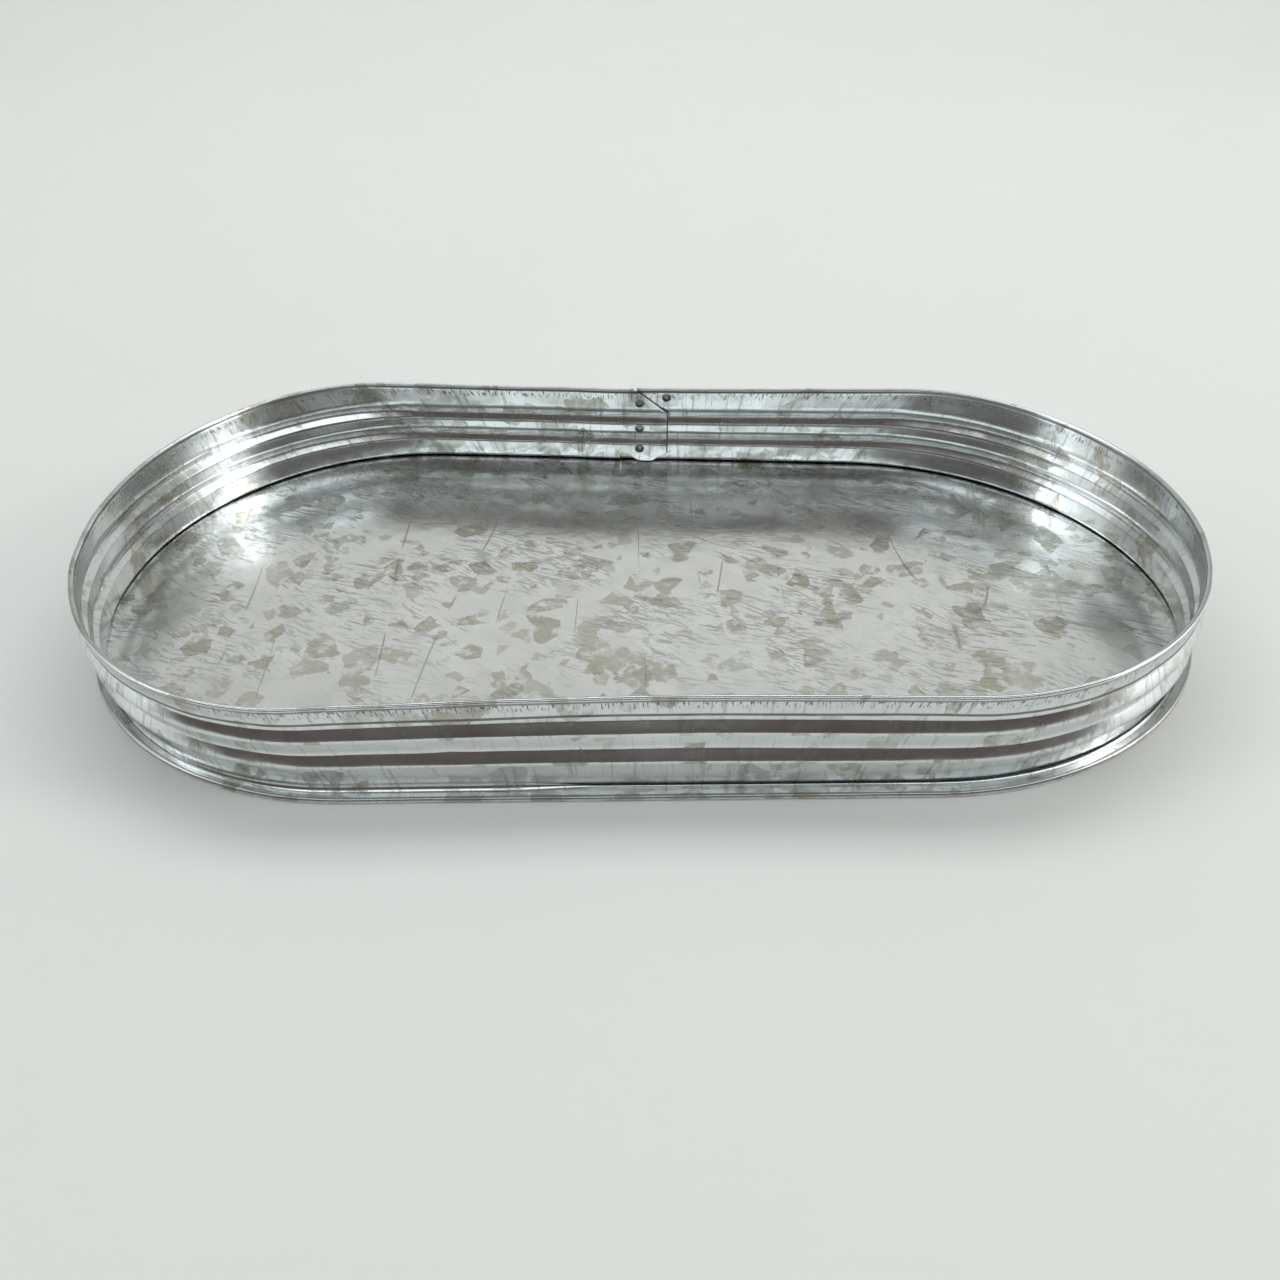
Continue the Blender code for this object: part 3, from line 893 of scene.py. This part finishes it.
# Dirt and painted shade darken the crimp above this share of its height
CRIMP_DIRT_AND_SHADE = (0.50, 0.62)

# Bands over the rim, in metres from its crest: negative inside the trough, positive outside
# Painted shade: dark ticks in the fine crinkles below the rim
TICKS_INSIDE = (-0.0075, -0.0045, -0.0032, -0.0022)
TICKS_OUTSIDE = (0.0018, 0.0026, 0.0040, 0.0058)
# Painted shade in the creases beside the rolled rim
CREASE_INSIDE = (-0.0029, -0.0024, -0.0014, -0.0010)
CREASE_OUTSIDE = (0.0011, 0.0015, 0.0020, 0.0026)
# Painted shadow under the hem's raw edge
HEM_RAW_EDGE = (0.0072, 0.0078)
# Painted shade on the crest, which dims its highlight
CREST_SHADE = (0.0008, 0.0003)
# Painted shadow at the inner lap's raw end, in metres from that end
LAP_RAW_EDGE = (-0.0009, -0.0005)

# Distances from a weld's middle: where its effect is full and where it ends
WELD_HALO = (0.0019, 0.0030)
WELD_CRATER = (0.0008, 0.0014)
SOOT = ((0.05, 0.055, 0.06, 1.0), (0.20, 0.22, 0.23, 1.0))
BARE_METAL = ((0.30, 0.33, 0.34, 1.0), (0.62, 0.65, 0.66, 1.0))


def spangle(graph, place, scale, share, seed):
    """Irregular angular patches of dull zinc: 1 inside a patch, streaked and faded within."""
    spot = graph.mapped(place, shift=(seed, seed * 0.7, seed * 0.3))
    for finer, push in PATCH_WARPS:
        spot = graph.warped(spot, scale * finer, push / scale)
    cell = graph.cells(spot, scale)
    patch = graph.step(cell[0], 1.0 - share, 1.0 - share + PATCH_EDGE)
    fade = graph.step(graph.noise(spot, scale * 1.5, detail=4.0, roughness=0.6), *PATCH_FADE)
    inner = graph.noise(graph.mapped(spot, (scale * 2.0, scale * 9.0, scale * 2.0)), 1.0)
    strength = graph.math("MULTIPLY_ADD", cell[1], 0.45, 0.55)
    streaks = graph.math("MULTIPLY_ADD", inner, 0.9, 0.45)
    strength = graph.math("MULTIPLY", strength, streaks, clamp=True)
    return graph.math("MULTIPLY", graph.math("MULTIPLY", patch, fade), strength), cell[2]


def hatch(graph, place, degrees, along, across, threshold, zone_scale):
    """Short fine strokes in one direction, in drifting zones."""
    turned = graph.mapped(place, rotation=(0.0, 0.0, math.radians(degrees)))
    strokes = graph.noise(graph.mapped(turned, (along, across, across)), 1.0, roughness=0.6)
    lines = graph.step(strokes, threshold, threshold + 0.06)
    zone = graph.step(graph.noise(place, zone_scale), 0.44, 0.60)
    return graph.math("MULTIPLY", lines, zone)


def scratches(graph, place, degrees, spacing, length, width, seed):
    """Long thin single scratches that wander a little and break off."""
    turned = graph.mapped(place, rotation=(0.0, 0.0, math.radians(degrees)), shift=(seed, seed, 0.0))
    field = graph.noise(graph.mapped(turned, (1.0 / spacing, 1.0 / length, 0.0)), 1.0, detail=0.0)
    away = graph.math("ABSOLUTE", graph.math("SUBTRACT", field, 0.5))
    line = graph.math("SUBTRACT", 1.0, graph.step(away, 0.0, width / spacing), clamp=True)
    broken = graph.step(graph.noise(turned, 30.0), 0.48, 0.60)
    return graph.math("MULTIPLY", line, broken)


def floor_marks(graph, place):
    """Fine slanted rub strokes in two directions, a few long scratches, and dirt with painted shade on
    the crimp.
    """
    slanted = hatch(graph, place, *STROKES_SLANTED)
    other = graph.math("MULTIPLY", hatch(graph, place, *STROKES_OTHER), 0.9)
    strokes = graph.math("MULTIPLY", graph.largest(slanted, other), 0.55)
    upright = graph.math("MULTIPLY", scratches(graph, place, *SCRATCHES_UPRIGHT), 0.75)
    # Painted shade with dirt: the crimp is darker above a share of its height
    dirt_and_shade_low, dirt_and_shade_full = (share * CRIMP_HEIGHT for share in CRIMP_DIRT_AND_SHADE)
    crimp_dirt_and_shade = graph.math("MULTIPLY", graph.step(graph.parts(place)[2], dirt_and_shade_low, dirt_and_shade_full), 0.62)
    return graph.largest(strokes, upright, crimp_dirt_and_shade)


def wall_marks(graph):
    """Upright forming streaks, and painted shade: short dark ticks and specks in the crinkles below the
    rolled rim, dark lines in the creases beside the roll, under the hem's raw edge and at the lap's raw
    end, and a darker crest.
    """
    strip = graph.strip()
    u, v = graph.parts(strip)[:2]
    streaks = graph.noise(graph.mapped(strip, (520.0, 40.0, 1.0)), 1.0, detail=3.0, roughness=0.6)
    streaks = graph.math("MULTIPLY", graph.step(streaks, 0.52, 0.70), 0.42)
    # Painted shade: dark ticks and specks, also bumped, for the fine crinkles below the rolled rim
    dashes = graph.step(graph.noise(graph.mapped(strip, (1500.0, 260.0, 1.0)), 1.0), 0.53, 0.62)
    tick_bands = graph.largest(graph.band(v, *TICKS_INSIDE), graph.band(v, *TICKS_OUTSIDE))
    ticks = graph.math("MULTIPLY", dashes, tick_bands)
    # Painted shade: dark lines in the creases beside the roll, inside the trough and over the hem
    over_hem_shade = graph.math("MULTIPLY", graph.band(v, *CREASE_OUTSIDE), 0.8)
    crease_shade = graph.largest(graph.band(v, *CREASE_INSIDE), over_hem_shade)
    # Painted shadow: dark lines under the hem's raw edge and at the inner lap's raw end
    raw_edge_shadow = graph.largest(graph.step(v, *HEM_RAW_EDGE), graph.step(u, *LAP_RAW_EDGE))
    # Painted shade: a darker, rougher crest, which dims its highlight
    crest_shade = graph.math("MULTIPLY", graph.step(graph.math("ABSOLUTE", v), *CREST_SHADE), 0.35)
    dark_lines = graph.largest(crease_shade, raw_edge_shadow, crest_shade)
    return graph.largest(streaks, ticks, dark_lines)


def weld_spots(graph, place, full, none):
    """1 within one distance of a spot weld's middle, 0 beyond another."""
    total = 0.0
    for centre in WELDS:
        node = graph.tree.nodes.new("ShaderNodeVectorMath")
        node.operation = "DISTANCE"
        graph.feed(node.inputs[0], place)
        node.inputs[1].default_value = centre
        total = graph.math("MAXIMUM", total, graph.step(node.outputs["Value"], none, full))
    return total


def zinc_patches(graph, place, scale, share):
    """Large and small dull patches together, and a random tone for each large one."""
    large, tone = spangle(graph, place, scale, share, LARGE_PATCH_SEED)
    small, _ = spangle(graph, place, scale * 1.9, share * 0.5, SMALL_PATCH_SEED)
    return graph.largest(large, graph.math("MULTIPLY", small, 0.8)), tone


def zinc_colour(graph, base, dull, cloud, facets, patches, tone, grain):
    """Cloudy base colour under faint facets, tinted dull patches and fine grain."""
    clouded = [channel * CLOUD_DARKENING for channel in base[:3]] + [1.0]
    warm = [channel * tint for channel, tint in zip(dull, WARM_TINT)] + [1.0]
    colour = graph.mix(graph.step(cloud, 0.30, 0.72), clouded, base)
    colour = graph.mix(graph.math("MULTIPLY", facets, 0.13), colour, dull)
    colour = graph.mix(patches, colour, graph.mix(tone, dull, warm))
    return graph.mix(graph.math("MULTIPLY", graph.step(grain, 0.50, 0.78), 0.10), colour, dull)


def zinc_roughness(graph, rough, patches, cloud, grain, marks):
    """Rougher in the patches and marks; cloud and grain add and take away as much."""
    level = graph.math("MULTIPLY_ADD", patches, ROUGH_PATCHES, rough)
    for pattern, amount in ((cloud, ROUGH_CLOUD), (grain, ROUGH_GRAIN)):
        lowered = graph.math("SUBTRACT", level, 0.5 * amount)
        level = graph.math("MULTIPLY_ADD", pattern, amount, lowered)
    return graph.math("MULTIPLY_ADD", marks, ROUGH_MARKS, level, clamp=True)


def zinc(name, base, dull, rough, patch_scale, patch_share, is_floor):
    """Hot-dip galvanised sheet: cloudy zinc, dull patches, fine grain, rubbed strokes and painted shade
    lines.
    """
    graph = Material(name)
    place = graph.place()
    patches, tone = zinc_patches(graph, place, patch_scale, patch_share)
    cloud = graph.noise(place, 26.0, detail=4.0, roughness=0.6)
    grain = graph.noise(place, 620.0, detail=3.0, roughness=0.65)
    facets = graph.cells(graph.warped(place, 90.0, 0.003), patch_scale * 1.3)[0]
    colour = zinc_colour(graph, base, dull, cloud, facets, patches, tone, grain)
    marks = floor_marks(graph, place) if is_floor else wall_marks(graph)
    # Marks and dirt, and the painted shade lines among them, darken the zinc towards one dark colour
    colour = graph.mix(graph.math("MULTIPLY", marks, 0.80), colour, DIRT_AND_SHADE)
    if not is_floor:
        burn = graph.math("MULTIPLY", weld_spots(graph, place, *WELD_HALO), 0.75)
        colour = graph.mix(burn, colour, BURN)
    roughness = zinc_roughness(graph, rough, patches, cloud, grain, marks)
    fine = graph.bump(grain, 0.00002, 0.6)
    ripple = graph.bump(graph.noise(place, 85.0), 0.00025, 0.5, fine)
    return graph.finish(colour, 1.0, roughness, graph.bump(marks, 0.00003, 0.6, ripple))


def weld_metal():
    """Sooty metal with a brighter crater."""
    graph = Material("burnt_weld")
    place = graph.place()
    soot = graph.noise(place, 900.0, detail=3.0, roughness=0.7)
    burnt = graph.mix(graph.step(soot, 0.40, 0.72), *SOOT)
    bright = graph.mix(graph.step(soot, 0.35, 0.65), *BARE_METAL)
    colour = graph.mix(weld_spots(graph, place, *WELD_CRATER), burnt, bright)
    roughness = graph.math("MULTIPLY_ADD", soot, 0.3, 0.30)
    return graph.finish(colour, 1.0, roughness, graph.bump(soot, 0.00005, 0.8))


def pale_paint(name, colour, rough):
    """Faintly mottled matt paint."""
    graph = Material(name)
    place = graph.place()
    darker = [channel * 0.97 for channel in colour[:3]] + [1.0]
    mottled = graph.mix(graph.noise(place, 5.0, detail=3.0), darker, colour)
    bumps = graph.bump(graph.noise(place, 260.0, detail=3.0), 0.0002, 0.25)
    return graph.finish(mottled, 0.0, rough, bumps)


# ---------------------------------------------------------------- stage, light and camera
FLOOR_SIZE = 6.0
BACKDROP_Y = 1.7
BACKDROP_HEIGHT = 3.0
BACKDROP_BEND = 0.5
BACKDROP_STEPS = 12
SWEEP_COLOUR = (0.80, 0.79, 0.765, 1.0)
SWEEP_ROUGHNESS = 0.55

# Name, place, target, size, power and colour of each light
LIGHTS = (
    ("overhead", (0.0, 0.95, 2.0), (0.0, 0.2, 0.0), (2.8, 0.9), 21.0, (0.97, 0.99, 1.0)),
    ("window_right", (1.60, -0.15, 0.98), (0.0, 0.0, 0.0), (0.42, 0.28), 4.8, (1.0, 0.98, 0.94)),
    ("window_low", (1.90, 0.05, 0.22), (0.0, 0.0, 0.02), (1.30, 0.25), 2.4, (1.0, 0.98, 0.95)),
    ("window_left", (-1.60, -0.35, 0.98), (0.0, 0.0, 0.0), (0.25, 0.25), 1.3, (0.88, 0.96, 1.0)),
)

# The room, by direction: Y turns from behind the viewer to the back wall, Z up to the ceiling,
# and a dark warm shade lies low down on the viewer's side
ROOM_TURN = (-0.35, 0.40)
CEILING_EDGE = (0.75, 0.85)
SHADE_TOP_EDGE = (0.64, 0.53)
SHADE_SIDE_EDGE = (-0.10, -0.42)
ROOM_BEHIND_VIEWER = (1.66, 1.79, 1.82, 1.0)
ROOM_BACK_WALL = (0.90, 0.91, 0.89, 1.0)
ROOM_CEILING = (0.17, 0.19, 0.19, 1.0)
SHADE_COLOUR = (0.095, 0.079, 0.072, 1.0)
PLAIN_BEYOND_SWEEP = (0.74, 0.75, 0.73, 1.0)
ROOM_STRENGTH = 0.92


def build_stage():
    """A pale floor that sweeps up into a pale backdrop behind the trough."""
    profile = [(-FLOOR_SIZE, 0.0), (BACKDROP_Y - BACKDROP_BEND, 0.0)]
    for step in range(1, BACKDROP_STEPS + 1):
        angle = 0.5 * math.pi * step / BACKDROP_STEPS
        profile.append((BACKDROP_Y - BACKDROP_BEND + BACKDROP_BEND * math.sin(angle),
                        BACKDROP_BEND * (1.0 - math.cos(angle))))
    profile.append((BACKDROP_Y, BACKDROP_HEIGHT))
    verts = np.array([(x, y, z) for y, z in profile for x in (-FLOOR_SIZE, FLOOR_SIZE)])
    faces = np.array([(2 * i, 2 * i + 1, 2 * i + 3, 2 * i + 2) for i in range(len(profile) - 1)])
    stage = sheet_object("studio_sweep", verts, faces)
    stage.data.shade_smooth()
    stage.data.materials.append(pale_paint("sweep_paint", SWEEP_COLOUR, SWEEP_ROUGHNESS))


def area_light(name, place, target, size, power, colour):
    light = bpy.data.lights.new(name, "AREA")
    light.shape = "RECTANGLE"
    light.size, light.size_y = size
    light.energy = power
    light.color = colour
    obj = bpy.data.objects.new(name, light)
    obj.location = place
    obj.rotation_euler = (Vector(target) - Vector(place)).to_track_quat("-Z", "Y").to_euler()
    bpy.context.scene.collection.objects.link(obj)


def build_world():
    """What the metal mirrors: a pale wall at the back, a brighter one behind the viewer with a
    dark warm shade low down, and a dim ceiling.  Seen directly, it is plain and pale."""
    world = bpy.data.worlds.new("soft_room")
    world.use_nodes = True
    bpy.context.scene.world = world
    graph = Graph(world.node_tree)
    _, back, up = graph.parts(graph.place("Generated"))
    sides = graph.mix(graph.step(back, *ROOM_TURN), ROOM_BEHIND_VIEWER, ROOM_BACK_WALL)
    room = graph.mix(graph.step(up, *CEILING_EDGE), sides, ROOM_CEILING)
    low_down = graph.step(up, *SHADE_TOP_EDGE)
    toward_viewer = graph.step(back, *SHADE_SIDE_EDGE)
    room = graph.mix(graph.math("MULTIPLY", low_down, toward_viewer), room, SHADE_COLOUR)
    seen_directly = graph.tree.nodes.new("ShaderNodeLightPath").outputs["Is Camera Ray"]
    room = graph.mix(seen_directly, room, PLAIN_BEYOND_SWEEP)
    background = graph.tree.nodes["Background"]
    graph.feed(background.inputs["Color"], room)
    background.inputs["Strength"].default_value = ROOM_STRENGTH


# Camera: place in the part's frame, pitch down, turn to the right and tilt of the horizon
CAMERA_PLACE = (0.0008, -0.3984, 0.2781)
CAMERA_PITCH = 0.6506
CAMERA_TURN = -0.0070
CAMERA_TILT = 0.0048
CAMERA_LENS = 31.5
CAMERA_SENSOR = 36.0
CAMERA_CLIP = (0.01, 50.0)


def build_camera():
    camera = bpy.data.cameras.new("view")
    camera.lens = CAMERA_LENS
    camera.sensor_width = CAMERA_SENSOR
    camera.clip_start, camera.clip_end = CAMERA_CLIP
    obj = bpy.data.objects.new("view", camera)
    turn = Matrix.Rotation(-CAMERA_TURN, 4, "Z") @ Matrix.Rotation(0.5 * math.pi - CAMERA_PITCH, 4, "X")
    obj.matrix_world = Matrix.Translation(CAMERA_PLACE) @ turn @ Matrix.Rotation(CAMERA_TILT, 4, "Z")
    bpy.context.scene.collection.objects.link(obj)
    bpy.context.scene.camera = obj


build_camera()
build_world()
build_stage()
for light_row in LIGHTS:
    area_light(*light_row)
bpy.context.scene.view_settings.view_transform = "Standard"

wall_zinc = zinc("zinc_wall", *WALL_ZINC, is_floor=False)
pan_zinc = zinc("zinc_pan", *PAN_ZINC, is_floor=True)
build_wall(wall_zinc)
build_pan(pan_zinc)
build_welds(weld_metal())
